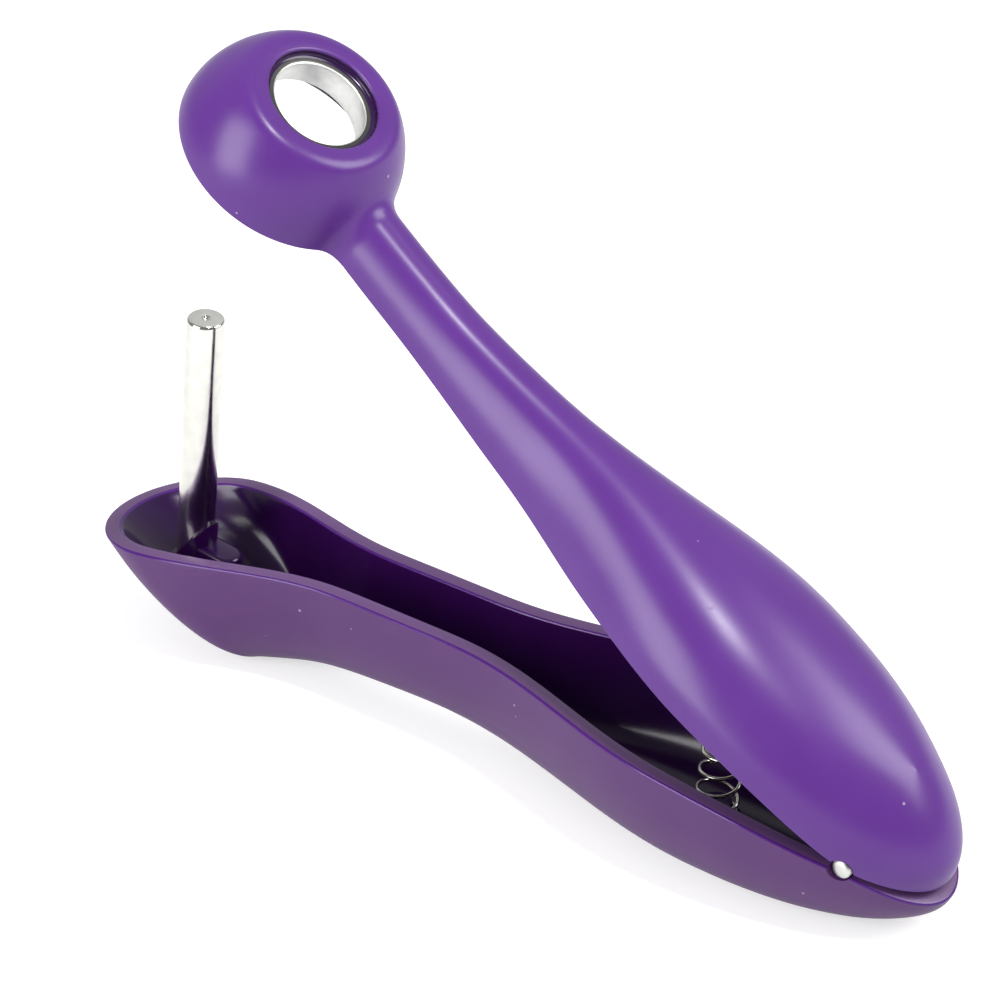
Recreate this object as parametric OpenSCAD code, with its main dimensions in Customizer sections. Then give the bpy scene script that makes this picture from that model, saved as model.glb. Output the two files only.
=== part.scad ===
// Olive pitter: two long hollow handles on one hinge pin. The lower handle carries
// the plunger rod in a round cup, the upper one a ball-shaped head with a metal seat
// ring. A spring keeps the handles apart; squeezing them drives the rod through the
// ring.
//
// Handle frame: the hinge pin is the origin, u runs from the pin towards the rod
// (along -X), y is across, z is up. The upper handle is drawn closed, then swung open.

/* [Lengths] */
// Distance from the hinge pin to the plunger rod
rod_reach = 123.5; // [110:0.5:135]
// How far the handles reach behind the hinge pin
tail = 10.7; // [9:0.1:13]
// Radius of the rounded front, seen from above
nose_r = 14.2; // [12:0.1:16]

/* [Widths] */
// Greatest width of the handles
belly_w = 31.2; // [28:0.2:36]
// Place of the greatest width, from the pin
belly_at = 24; // [20:1:30]
// Width of the lower handle at its waist
waist_w = 15.2; // [13:0.2:18]
// Width of the cup at the front of the lower handle
cup_w = 27.2; // [25:0.2:30]
// Width of the neck of the upper handle
neck_w = 10.4; // [9:0.1:12]

/* [Heights] */
// Rise of the parting line above the straight line from the pin
arch_rise = 5.2; // [3:0.1:7]
// Drop of the parting line at the front
nose_drop = 2.4; // [0:0.1:5]
// Depth of the belly below the pin
belly_depth = 13.8; // [12:0.1:16]
// Depth of the waist below the pin
waist_depth = 11.1; // [10:0.1:13]
// Depth of the cup below the pin
cup_depth = 16.9; // [15:0.1:19]
// Height of the upper handle's back above the pin, closed
back_height = 18.6; // [16:0.1:21]
// Height of the neck's back above the pin, closed
neck_height = 21.8; // [20:0.1:24]
// Slope of the lower rim behind the pin, which lets the handles open
relief_angle = 28; // [26:0.5:32]

/* [Walls] */
// Wall of both handles
wall = 2.6; // [2:0.1:3.2]
// Floor of the lower handle
floor_t = 2.4; // [2:0.1:3.2]
// Small bevel along the outer rim
rim_bevel = 0.4; // [0.2:0.05:0.6]
// Gap between the two rims when closed
rim_gap = 0.5; // [0.3:0.05:0.8]

/* [Head] */
// Diameter of the ball-shaped head
head_d = 32.6; // [30:0.2:35]
// Height of the ball's centre along the hole, closed
head_height = 21.4; // [20:0.1:23]
// Height of the flat top above the ball's centre
head_top = 11.8; // [11:0.1:12.6]
// Distance of the mouth below the ball's centre
mouth_below = 0.7; // [0.3:0.1:3]
// How far the hole's axis lies in front of the rod, at the height of the pin
hole_ahead = 3.5; // [2.5:0.1:5]
// Lean of the hole towards the hinge, closed
hole_lean = 11.4; // [8:0.1:14]
// Diameter of the hole in the flat top
hole_d = 16.4; // [15.6:0.1:17]

/* [Seat ring] */
// Outer diameter of the ring
ring_d = 17.6; // [17.2:0.1:19]
// Bore of the ring
ring_bore = 13.4; // [12:0.1:14.4]
// Length of the ring along its bore
ring_len = 5; // [4:0.1:6]
// Depth of the ring's end face below the flat top
ring_recess = 1.2; // [0.8:0.1:2]

/* [Rod and pin] */
// Diameter of the plunger rod
rod_d = 5.6; // [4.5:0.1:6.5]
// Height of the rod's end above the pin
rod_height = 35; // [32:0.5:37]
// Lean of the rod towards the hinge
rod_lean = 4.5; // [3:0.1:7]
// Bevel on the rod's end
rod_bevel = 0.5; // [0.2:0.1:0.8]
// Diameter of the hinge pin
pin_d = 2.8; // [2:0.1:3.2]
// Radial clearance of the pin in the upper handle's ears
pin_play = 0.06; // [0.03:0.01:0.1]

/* [Hinge ears] */
// Thickness of each ear
ear_t = 2.2; // [1.8:0.1:2.6]
// Radius of an ear round the pin
ear_r = 3; // [2.4:0.1:3.4]
// Gap between an ear and its neighbour
ear_gap = 0.4; // [0.3:0.05:0.6]

/* [Spring] */
// Outer diameter of the coil
spring_d = 6.4; // [5.6:0.1:8]
// Diameter of the wire
wire_d = 0.6; // [0.5:0.05:0.8]
// Number of turns
turns = 9; // [6:1:11]
// Place of the spring, from the pin
spring_at = 27.5; // [24:0.5:32]
// Distance of each spring seat from the pin's height, closed
seat_z = 10; // [8.5:0.1:11]

/* [Motion] */
// Angle by which the handles are open at rest
open_angle = 23; // [15:0.5:24]

/* [Hidden] */
purple = [0.36, 0.19, 0.55];
deep_purple = [0.25, 0.10, 0.37];
metal = [0.80, 0.80, 0.80];
wire_metal = [0.70, 0.69, 0.66];
$fn = 96;

// Places along the handles
cup_at = rod_reach;
nose_u = cup_at + nose_r;
belly_taper = 46;
cup_taper = 33.5;
keel_back = 11.5;
waist_at = belly_at + belly_taper;
cup_from = cup_at - cup_taper;
keel_belly = belly_at + 4;
keel_cup = cup_at - keel_back;
head_reach = rod_reach + hole_ahead;
head_wall = 2.4;
bowl_r = head_d / 2 - head_wall;
neck_play = 0.4;
neck_taper = 11.5;
neck_end = head_reach - head_height * sin(hole_lean) - bowl_r - neck_play;
neck_at = neck_end - neck_taper;

// The tool lies on the two lowest places of its keel, both worn flat by foot_cut
foot_cut = 0.4;
lie = atan((cup_depth - belly_depth) / (keel_cup - keel_belly));
hinge_z = belly_depth * cos(lie) - keel_belly * sin(lie) - foot_cut;
tail_drop = tail * tan(relief_angle);
hinge_x = (nose_u - tail) / 2 * cos(lie) + (nose_drop + tail_drop) / 2 * sin(lie);

// Stations of the lofts: round ends, with straight steps between them
section_steps = 20;
end_steps = 9;
first_angle = 4;
mid_steps = 18;
neck_steps = 14;
fillet_steps = 6;

// How far the lowest line stays inside the rim at the front and at the back
rake_front = 24;
rake_from = 100;
rake_tail = 12;
rake_power = 1.2;

// Cross-sections: 2 is an ellipse, 3 is squarer
square_belly = 2.8;
square_cup = 2.5;
round_back = 2.1;

function clamp01(t) = min(1, max(0, t));
function ease(t) = (1 - cos(180 * clamp01(t))) / 2;
function mix(a, b, t) = a + (b - a) * ease(t);

// Smooth curve through the stations [[u, value], ...]
function span(t, u, i = 0) = i >= len(t) - 2 || u < t[i + 1][0] ? i : span(t, u, i + 1);
function slope(t, i) =
    let (a = t[max(i - 1, 0)], b = t[min(i + 1, len(t) - 1)])
    (b[1] - a[1]) / (b[0] - a[0]);
function curve(t, u) =
    let (i = span(t, u), h = t[i + 1][0] - t[i][0], s = (u - t[i][0]) / h)
    (1 + 2 * s) * (1 - s) * (1 - s) * t[i][1] + s * s * (3 - 2 * s) * t[i + 1][1]
    + h * s * (1 - s) * ((1 - s) * slope(t, i) - s * slope(t, i + 1));

// Half the width of the handles, narrowed all round by e
function round_half(w, r, from, u, e) =
    (w / 2 - e) * sqrt(max(0, 1 - pow((u - from) / (r - e), 2)));
function tail_half(u, e) = round_half(belly_w, belly_at + tail, belly_at, u, e);
function belly_blend(u) = 1 - ease((u - belly_at - 2) / (waist_at - belly_at - 2));
function lower_half(u, e) =
    u < belly_at ? tail_half(u, e)
    : u > cup_at ? round_half(cup_w, nose_r, cup_at, u, e)
    : waist_w / 2 - e + (belly_w - waist_w) / 2 * belly_blend(u)
      + (cup_w - waist_w) / 2 * ease((u - cup_from) / (cup_at - cup_from));
flare = 2.4;
neck_fillet = 5;
flare_from = neck_end - neck_fillet;
neck_from = belly_at + 26;
function upper_half(u, e) =
    u < belly_at ? tail_half(u, e)
    : neck_w / 2 - e + (belly_w - waist_w) / 2 * belly_blend(u)
      + (waist_w - neck_w) / 2 * (1 - ease((u - neck_from) / (neck_at - neck_from)))
      + flare * pow(clamp01((u - flare_from) / neck_fillet), 2.5);

// Height of both rims: they meet along an arch, and the upper one climbs to the neck
arch = [[0, 0], [12, 0.56 * arch_rise], [25, 0.88 * arch_rise], [47, arch_rise],
        [75, 0.84 * arch_rise], [100, 0.6 * arch_rise], [cup_at - 3, 0.16 * arch_rise],
        [nose_u, -nose_drop]];
neck_rise = 10.4;
climb = [[40, 0], [52, 0], [62, 0.12 * neck_rise], [75, 0.4 * neck_rise],
         [neck_at, neck_rise], [neck_end, 1.38 * neck_rise]];
function lower_rim(u) = (u < 0 ? u * tan(relief_angle) : curve(arch, u)) - rim_gap / 2;
function upper_rim(u) =
    (u < 0 ? 0 : curve(arch, u)) + (u < climb[0][0] ? 0 : curve(climb, u)) + rim_gap / 2;

// Lowest line of the lower handle and highest line of the upper one
keel = [[rake_tail - tail, 1.3 - belly_depth], [belly_at - 8, 0.2 - belly_depth],
        [keel_belly, -belly_depth], [waist_at - 22, -(0.55 * belly_depth + 0.45 * waist_depth)],
        [waist_at, -waist_depth], [waist_at + 12, -(0.1 * cup_depth + 0.9 * waist_depth)],
        [keel_cup - 16, -(0.38 * cup_depth + 0.62 * waist_depth)],
        [keel_cup - 7, -(0.8 * cup_depth + 0.2 * waist_depth)], [keel_cup, -cup_depth],
        [nose_u - rake_front, -cup_depth]];
crown = [[rake_tail - tail, back_height - 6.2], [belly_at - 9, back_height - 3.3],
         [belly_at + 8, back_height - 0.8], [belly_at + 27, back_height],
         [belly_at + 46, back_height], [neck_at - 11, neck_height - 2.1],
         [neck_at, neck_height], [neck_end, neck_height + 2.8]];

// Place along the handle of a section's point at the share t of its depth
function tail_rake(u, t) =
    rake_tail * pow(clamp01((belly_at - u) / (belly_at + tail)), 2) * t * t;
function nose_rake(u, t, e) =
    (rake_front - 0.7 * e) * ease((u - rake_from) / (nose_u - rake_from))
    * pow(t, rake_power - 0.2 * e / wall);
function lower_place(u, t, e) = u + tail_rake(u, t) - nose_rake(u, t, e);
function upper_place(u, t, e) = u + tail_rake(u, t);

// Half round of a section, from one rim over the far line to the other rim
function share(a, n) = pow(abs(a), 2 / n);
function lower_section(u, e, rim, floor) =
    let (n = mix(square_belly, square_cup, (u - cup_from) / (cup_at - cup_from)),
         far = curve(keel, lower_place(u, 1, 0)) + floor)
    [for (j = [0:section_steps])
        let (a = 180 * j / section_steps, t = share(sin(a), n))
        [-lower_place(u, t, e), -lower_half(u, e) * sign(cos(a)) * share(cos(a), n),
         rim + (far - rim) * t]];
function upper_section(u, e, rim, roof) =
    let (far = curve(crown, upper_place(u, 1, 0)) - roof)
    [for (j = [0:section_steps])
        let (a = 180 * j / section_steps, t = share(sin(a), round_back))
        [-upper_place(u, t, e), upper_half(u, e) * sign(cos(a)) * share(cos(a), round_back),
         rim + (far - rim) * t]];
function reversed(p) = [for (i = [len(p) - 1:-1:0]) p[i]];

// Stations from the tail to the nose, and from the tail to the end of the neck
function tail_stations(e) =
    [for (i = [0:end_steps - 1])
        belly_at - (belly_at + tail - e) * cos(first_angle + i * (90 - first_angle) / end_steps)];
function mid_stations(to, n) = [for (i = [0:n]) belly_at + i * (to - belly_at) / n];
function nose_stations(e) =
    [for (i = [1:end_steps]) cup_at + (nose_r - e) * sin(i * (90 - first_angle) / end_steps)];
function lower_stations(e) =
    concat(tail_stations(e), mid_stations(cup_at, mid_steps), nose_stations(e));
neck_wall = 3.2;
function upper_stations(e) =
    let (end = neck_end - (e == wall ? neck_wall : 0))
    concat(tail_stations(e), mid_stations(end - neck_fillet, neck_steps),
           [for (i = [1:fillet_steps]) end - neck_fillet * (1 - i / fillet_steps)]);

// Closed outline of the wall at one station: bevel, outside, bevel, inside
function lower_ring(o, b, i) =
    concat([[-b, -lower_half(b, rim_bevel), lower_rim(b)]],
           lower_section(o, 0, lower_rim(o) - rim_bevel, 0),
           [[-b, lower_half(b, rim_bevel), lower_rim(b)]],
           reversed(lower_section(i, wall, lower_rim(i), floor_t)));
function upper_ring(o, b, i) =
    concat([[-b, upper_half(b, rim_bevel), upper_rim(b)]],
           upper_section(o, 0, upper_rim(o) + rim_bevel, 0),
           [[-b, -upper_half(b, rim_bevel), upper_rim(b)]],
           reversed(upper_section(i, wall, upper_rim(i), wall)));

// Faces of a tube of n rings of m points, and the strips that close its ends
function tube_faces(n, m) =
    [for (i = [0:n - 2]) for (k = [0:m - 1])
        let (a = i * m + k, b = i * m + (k + 1) % m)
        each [[a, b, b + m], [a, b + m, a + m]]];
function mirrored(k, h) = k <= h ? h - k : 3 * h - k;
function end_strip(k, next, h) =
    let (a = mirrored(k, h), b = mirrored(next, h))
    concat(a == k ? [] : [[k, a, b]], b == next ? [] : [[k, b, next]]);
function end_faces(h, hollow) =
    concat([for (k = [0:h / 2 - 1]) each end_strip(k, k + 1, h)],
           hollow ? [for (k = [3 * h / 2:2 * h - 2]) each end_strip(k, k + 1, h)] : [],
           hollow ? end_strip(2 * h - 1, 0, h) : []);

// Solid whose surface runs inside the wall, open far past the rim: it trims the inner parts
core_steps = section_steps + 2;
past_rim = 12;
function lower_core_ring(u, e) =
    concat([[-u, -lower_half(u, e), lower_rim(u) + past_rim]],
           lower_section(u, e, lower_rim(u), floor_t / 2),
           [[-u, lower_half(u, e), lower_rim(u) + past_rim]]);
function upper_core_ring(u, e) =
    concat([[-u, upper_half(u, e), upper_rim(u) - past_rim]],
           upper_section(u, e, upper_rim(u), wall / 2),
           [[-u, -upper_half(u, e), upper_rim(u) - past_rim]]);

module loft(rings) {
    n = len(rings);
    m = len(rings[0]);
    ends = end_faces(core_steps, m > core_steps + 1);
    polyhedron(
        points = [for (r = rings) each r],
        faces = concat(tube_faces(n, m), ends,
                       [for (f = ends) reversed([for (p = f) p + (n - 1) * m])]));
}
module lower_shell() {
    o = lower_stations(0);
    b = lower_stations(rim_bevel);
    i = lower_stations(wall);
    loft([for (s = [0:len(o) - 1]) lower_ring(o[s], b[s], i[s])]);
}
module upper_shell() {
    o = upper_stations(0);
    b = upper_stations(rim_bevel);
    i = upper_stations(wall);
    loft([for (s = [0:len(o) - 1]) upper_ring(o[s], b[s], i[s])]);
}
module lower_core() loft([for (u = lower_stations(wall / 2)) lower_core_ring(u, wall / 2)]);
module upper_core() loft([for (u = upper_stations(wall / 2)) upper_core_ring(u, wall / 2)]);

// Frames: the whole tool as it lies, the opened upper handle, the hole's and the rod's axes
module lying() translate([hinge_x, 0, hinge_z]) rotate([0, lie, 0]) children();
module opened() rotate([0, open_angle, 0]) children();
module along_hole() translate([-head_reach, 0, 0]) rotate([0, hole_lean, 0]) children();
module along_rod() translate([-rod_reach, 0, 0]) rotate([0, rod_lean, 0]) children();
module across(r, length) rotate([90, 0, 0]) cylinder(r = r, h = length, center = true);

// Hinge: the lower ears stand just inside the wall, the upper ears just inside those
pin_r = pin_d / 2;
pin_length = 2 * tail_half(-pin_r, 0);
notch_r = pin_r + 0.3;
lower_ear_y = tail_half(-ear_r - ear_gap, wall) - ear_gap - ear_t / 2;
upper_ear_y = lower_ear_y - ear_t - ear_gap;
ear_flare = 1.6;
ear_foot = ear_r + ear_flare;
module ears(y, reach) {
    for (side = [-1, 1])
        translate([0, side * y, 0])
            rotate([90, 0, 0])
                linear_extrude(ear_t, center = true) {
                    circle(r = ear_r);
                    polygon([[-ear_r, 0], [ear_r, 0], [ear_foot, reach], [-ear_foot, reach]]);
                }
}
module pin_notches() {
    for (side = [-1, 1])
        translate([0, side * (lower_ear_y + ear_t / 2 + belly_w / 2), 0])
            across(notch_r, belly_w);
}

// Spring seats: a pad on each handle with a peg that keeps the coil in place
coil_r = (spring_d - wire_d) / 2;
peg_play = 0.35;
peg_r = coil_r - wire_d / 2 - peg_play;
peg_h = 2.4;
pad_r = spring_d / 2 + 0.6;
module spring_seat(depth) {
    translate([-spring_at, 0, -depth]) cylinder(r = pad_r, h = depth - seat_z);
    translate([-spring_at, 0, -depth]) cylinder(r = peg_r, h = depth - seat_z + peg_h);
}

// Rod: its foot stands in a blind socket, a little above the outside of the cup. A thin
// sleeve with a slanted end holds it on the side towards the hinge.
rod_r = rod_d / 2;
function nose_floor(u) =
    -nose_drop + (nose_drop - cup_depth) * pow((nose_u - u) / rake_front, 1 / rake_power);
rod_foot = nose_floor(rod_reach + rod_r) + wall / 2;
boss_wall = 1.1;
boss_top = -6.8;
sleeve_wall = 0.5;
sleeve_top = -4.2;
sleeve_slant = 53;
lump_r = 2.4;
lump_at = 6.2;
lump_top = -3.4;
module rod_sleeve() intersection() {
    translate([0, 0, -cup_depth]) cylinder(r = rod_r + sleeve_wall, h = 2 * cup_depth);
    translate([0, 0, sleeve_top]) rotate([0, -sleeve_slant, 0])
        translate([0, 0, -cup_depth]) cube(2 * cup_depth, center = true);
}
module rod_boss() along_rod() {
    rod_sleeve();
    translate([0, 0, -cup_depth]) cylinder(r = rod_r + boss_wall, h = cup_depth + boss_top);
    translate([lump_at, 0, -cup_depth]) cylinder(r = lump_r, h = cup_depth + lump_top);
    translate([0, -lump_r, -cup_depth]) cube([lump_at, 2 * lump_r, cup_depth + lump_top]);
}

module lower_handle() color(purple) difference() {
    lying() difference() {
        union() {
            lower_shell();
            intersection() {
                union() {
                    ears(lower_ear_y, -belly_depth);
                    spring_seat(belly_depth);
                    rod_boss();
                }
                lower_core();
            }
        }
        across(pin_r, 2 * lower_ear_y + 2 * ear_t);
        pin_notches();
        along_rod() translate([0, 0, rod_foot]) cylinder(r = rod_r, h = cup_depth);
    }
    translate([0, 0, -cup_depth / 2]) cube([2 * nose_u, 2 * belly_w, cup_depth], center = true);
}

// Head: a ball cut flat above and open below, with a collar round the seat ring
head_r = head_d / 2;
mouth_z = head_height - mouth_below;
top_z = head_height + head_top;
ring_top = top_z - ring_recess;
ring_foot = ring_top - ring_len;
roof_t = 2.6;
collar_wall = 1.6;
bowl_roof = top_z - roof_t;
collar_r = ring_d / 2 + collar_wall;
step_r = hole_d / 2;
module head_outside() along_hole() intersection() {
    translate([0, 0, head_height]) sphere(r = head_r);
    translate([0, 0, mouth_z]) cylinder(r = head_d, h = top_z - mouth_z);
}
module head_inside() along_hole() {
    difference() {
        intersection() {
            translate([0, 0, head_height]) sphere(r = bowl_r);
            cylinder(r = head_d, h = bowl_roof);
        }
        translate([0, 0, ring_foot]) cylinder(r = collar_r, h = head_d);
    }
    cylinder(r = ring_d / 2, h = ring_top);
    cylinder(r = step_r, h = 2 * head_height);
}

module upper_handle() color(purple) lying() opened() difference() {
    union() {
        upper_shell();
        intersection() {
            union() {
                ears(upper_ear_y, back_height);
                rotate([180, 0, 0]) spring_seat(back_height);
            }
            upper_core();
        }
        head_outside();
    }
    head_inside();
    across(pin_r + pin_play, 2 * upper_ear_y + 2 * ear_t);
    pin_notches();
}

ring_bevel = 0.4;
module seat_ring() color(metal) lying() opened() along_hole() translate([0, 0, ring_foot])
    difference() {
        cylinder(r = ring_d / 2, h = ring_len);
        translate([0, 0, -1]) cylinder(r = ring_bore / 2, h = ring_len + 2);
        translate([0, 0, ring_len - ring_bevel])
            cylinder(r1 = ring_bore / 2, r2 = ring_bore / 2 + 2 * ring_bevel, h = 2 * ring_bevel);
    }

dimple_r = 0.9;
module plunger_rod() color(metal) lying() along_rod() rotate_extrude()
    polygon([[0, rod_foot], [rod_r, rod_foot], [rod_r, rod_height - rod_bevel],
             [rod_r - rod_bevel, rod_height], [dimple_r, rod_height],
             [0, rod_height - dimple_r]]);

module hinge_pin() color(metal) lying() across(pin_r, pin_length);

// Spring: a coil whose axis is the arc that leaves both seats square
spring_play = 0.2;
arc_r = seat_z / tan(open_angle / 2) + spring_at;
arc_x = arc_r - spring_at;
turn_steps = 8;
play_angle = spring_play / arc_r * 180 / PI;
stub_angle = wire_d / arc_r * 180 / PI;
coil_from = play_angle + stub_angle;
coil_to = open_angle - coil_from;
// Point of the wire at the angle a along the arc and the angle s round the coil
function wire_point(a, s) =
    [arc_x - (arc_r + coil_r * cos(s)) * cos(a), -coil_r * sin(s),
     (arc_r + coil_r * cos(s)) * sin(a) - seat_z];
function wire_out(a, s) = [-cos(s) * cos(a), -sin(s), cos(s) * sin(a)];
wire_steps = turns * turn_steps;
wire_places = concat([[play_angle, 0]],
    [for (i = [0:wire_steps])
        [coil_from + (coil_to - coil_from) * i / wire_steps, 360 * i / turn_steps]],
    [[open_angle - play_angle, 360 * turns]]);
wire_line = [for (p = wire_places) wire_point(p[0], p[1])];
wire_end = len(wire_line) - 1;
function unit(v) = v / norm(v);
function wire_ring(i) =
    let (before = wire_line[i] - wire_line[max(i - 1, 0)],
         after = wire_line[min(i + 1, wire_end)] - wire_line[i],
         ahead = unit((i > 0 ? unit(before) : [0, 0, 0]) + (i < wire_end ? unit(after) : [0, 0, 0])),
         side = unit(cross(ahead, wire_out(wire_places[i][0], wire_places[i][1]))),
         out = cross(side, ahead))
    [for (k = [0:5]) wire_line[i] + wire_d / 2 * (cos(60 * k) * out - sin(60 * k) * side)];
wire_gap = min([for (i = [0:wire_end]) for (j = [i + turn_steps / 2:wire_end])
    norm(wire_line[i] - wire_line[j])]) - wire_d;
echo(least_gap_of_the_spring_to_itself_mm = wire_gap);
module return_spring() color(wire_metal) lying() {
    n = wire_end + 1;
    cap = [for (k = [1:4]) [0, k + 1, k]];
    polyhedron(
        points = [for (i = [0:wire_end]) each wire_ring(i)],
        faces = concat(tube_faces(n, 6), cap,
                       [for (f = cap) reversed([for (p = f) p + 6 * wire_end])]));
}

lower_handle();
upper_handle();
seat_ring();
plunger_rod();
hinge_pin();
return_spring();
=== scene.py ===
# %% [markdown]
# # An olive pitter, modelled by hand in Blender
#
# The tool has two long hollow handles of purple plastic that turn on one steel pin. The
# lower handle carries a steel plunger rod in a round cup. The upper one ends in a ball
# with a metal seat ring. The imported model gives the true sizes and the joint, so the
# first cell loads it.

# %% Load the imported model
import math
import bpy
import bmesh
from mathutils import Matrix, Vector


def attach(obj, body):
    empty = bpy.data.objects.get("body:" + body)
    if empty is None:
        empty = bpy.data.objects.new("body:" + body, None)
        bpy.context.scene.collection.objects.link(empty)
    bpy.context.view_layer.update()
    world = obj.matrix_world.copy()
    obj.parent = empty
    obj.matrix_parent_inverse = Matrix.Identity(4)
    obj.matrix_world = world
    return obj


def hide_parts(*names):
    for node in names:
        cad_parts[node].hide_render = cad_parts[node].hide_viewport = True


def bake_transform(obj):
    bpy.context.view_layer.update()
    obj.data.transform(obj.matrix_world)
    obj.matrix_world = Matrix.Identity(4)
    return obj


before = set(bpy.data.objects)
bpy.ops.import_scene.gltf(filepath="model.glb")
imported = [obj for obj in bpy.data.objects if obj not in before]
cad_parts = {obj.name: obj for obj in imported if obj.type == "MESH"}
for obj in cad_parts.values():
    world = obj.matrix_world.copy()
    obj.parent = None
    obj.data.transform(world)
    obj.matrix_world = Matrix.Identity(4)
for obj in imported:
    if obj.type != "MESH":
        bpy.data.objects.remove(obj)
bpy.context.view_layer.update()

MM = 0.001

# %% [markdown]
# ## The camera
#
# A photograph is matched best by its camera: where it stood, what it looked at and how
# long its lens was. Here it looked down from the front left of the tool. The three
# directions of the camera are worked out from two angles and a small roll.

# %% Place the camera
azimuth, elevation, roll = math.radians(38.6855), math.radians(30.2011), math.radians(-0.603)
toward_camera = Vector((math.sin(azimuth) * math.cos(elevation),
                        -math.cos(azimuth) * math.cos(elevation), math.sin(elevation)))
level_right = Vector((math.cos(azimuth), math.sin(azimuth), 0))
level_up = toward_camera.cross(level_right)
camera_right = math.cos(roll) * level_right + math.sin(roll) * level_up
camera_up = math.cos(roll) * level_up - math.sin(roll) * level_right
look_at, distance = Vector((-1.777, 0, 40.318)) * MM, 551.13 * MM
lens, sensor = 143.24, 36
camera_data = bpy.data.cameras.new("camera")
camera_data.lens, camera_data.sensor_width = lens, sensor
camera_data.clip_start, camera_data.clip_end = 0.01, 50
camera = bpy.data.objects.new("camera", camera_data)
turn = Matrix((camera_right, camera_up, toward_camera)).transposed().to_4x4()
camera.matrix_world = Matrix.Translation(look_at + toward_camera * distance) @ turn
bpy.context.scene.collection.objects.link(camera)
bpy.context.scene.camera = camera
print("camera at", [round(c, 3) for c in camera.location])

# %% [markdown]
# ## Light
#
# The satin plastic shows three long soft streaks. They are mirror images of the lamps: a
# tall soft one on the left, a small bright one overhead and a large one behind on the
# right. Each lamp stands in the direction in which the handle mirrors it to the camera.

# %% A lamp that looks at the tool
LAMP_DISTANCE, AIM_HEIGHT = 0.9, 0.04


def soft_lamp(name, compass, height, width, tall, power):
    lamp = bpy.data.lights.new(name, "AREA")
    lamp.shape, lamp.size, lamp.size_y, lamp.energy = "RECTANGLE", width, tall, power
    lamp_object = bpy.data.objects.new(name, lamp)
    side, up = math.radians(compass), math.radians(height)
    way = Vector((math.cos(side) * math.cos(up), math.sin(side) * math.cos(up),
                  math.sin(up)))
    lamp_object.location = way * LAMP_DISTANCE + Vector((0, 0, AIM_HEIGHT))
    lamp_object.rotation_mode = "QUATERNION"
    lamp_object.rotation_quaternion = (-way).to_track_quat("-Z", "Y")
    bpy.context.scene.collection.objects.link(lamp_object)
    print(name, "shines with", power, "W")

# %% Three lamps
soft_lamp("left_softbox", -108, 18, 0.50, 0.76, 7.6)
soft_lamp("overhead_lamp", -8, 69, 0.06, 0.06, 3.2)
soft_lamp("rear_softbox", 33, 35, 0.50, 0.44, 5.2)

# %% [markdown]
# ## Shader sums as plain sums
#
# Materials are node graphs. Long sums are easier to read as Python, so one small class
# wraps a node's output and turns plus, minus and times into Math nodes.

# %% A socket that can be added and multiplied
class Value:
    def __init__(self, graph, output):
        self.graph, self.output = graph, output

    def sum(self, kind, other, turned=False):
        pair = (other, self) if turned else (self, other)
        return self.graph.node("ShaderNodeMath", {"operation": kind}, *pair)

    def __add__(self, other): return self.sum("ADD", other)
    def __radd__(self, other): return self.sum("ADD", other, True)
    def __sub__(self, other): return self.sum("SUBTRACT", other)
    def __mul__(self, other): return self.sum("MULTIPLY", other)
    def __rmul__(self, other): return self.sum("MULTIPLY", other, True)


# %% A material and its graph
class Graph:
    def __init__(self, name, tree=None):
        if tree is None:
            self.material = bpy.data.materials.new(name)
            self.material.use_nodes = True
            tree = self.material.node_tree
        self.tree = tree
        self.tree.nodes.clear()

    def node(self, kind, settings=None, *inputs, out=0, **named):
        made = self.tree.nodes.new(kind)
        for key, setting in (settings or {}).items():
            if key == "stops":
                ramp = made.color_ramp
                while len(ramp.elements) < len(setting):
                    ramp.elements.new(0.5)
                for element, (place, colour) in zip(ramp.elements, setting):
                    element.position, element.color = place, colour
            else:
                setattr(made, key, setting)
        for key, value in [*enumerate(inputs), *named.items()]:
            socket = key.replace("_", " ") if isinstance(key, str) else key
            self.feed(made.inputs[socket], value)
        return Value(self, made.outputs[out] if made.outputs else None)

    def feed(self, socket, value):
        if isinstance(value, Value):
            self.tree.links.new(value.output, socket)
        else:
            socket.default_value = value

    def rays(self):
        """Is the ray one of the camera, a mirrored one, one through glass?"""
        path = self.node("ShaderNodeLightPath").output.node
        return [Value(self, path.outputs[f"Is {kind} Ray"])
                for kind in ("Camera", "Glossy", "Transmission")]

    def place(self, scale=(1, 1, 1), turned=(0, 0, 0)):
        where = self.node("ShaderNodeTexCoord", None, out="Object")
        return self.node("ShaderNodeMapping", None, where, Scale=scale, Rotation=turned)

    def noise(self, where, size, detail=2.0, roughness=0.5, out=0):
        return self.node("ShaderNodeTexNoise", None, Vector=where, Scale=1 / (size * MM),
                         Detail=detail, Roughness=roughness, out=out)

    def band(self, value, low, high, to_low=0.0, to_high=1.0):
        return self.node("ShaderNodeMapRange", None, value, low, high, to_low, to_high)

    def colours(self, factor, first, second, blend="MIX"):
        made = self.tree.nodes.new("ShaderNodeMix")
        made.data_type, made.blend_type = "RGBA", blend
        self.feed(made.inputs[0], factor)
        self.feed(made.inputs[6], first)
        self.feed(made.inputs[7], second)
        return Value(self, made.outputs[2])

    def bump(self, height, depth, strength=1.0, normal=None):
        extra = {"Normal": normal} if normal else {}
        return self.node("ShaderNodeBump", None, Height=height, Distance=depth * MM,
                         Strength=strength, **extra)

    def finish(self, **sockets):
        shader = self.node("ShaderNodeBsdfPrincipled", None, **sockets)
        self.node("ShaderNodeOutputMaterial", None, shader)
        return self.material


def linear(red, green, blue):
    def one(c):
        c /= 255
        return c / 12.92 if c <= 0.04045 else ((c + 0.055) / 1.055) ** 2.4
    return (one(red), one(green), one(blue), 1.0)


def shaded(colour, share):
    return tuple(share * c for c in colour[:3]) + (1,)


print("shader helpers are ready")

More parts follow.
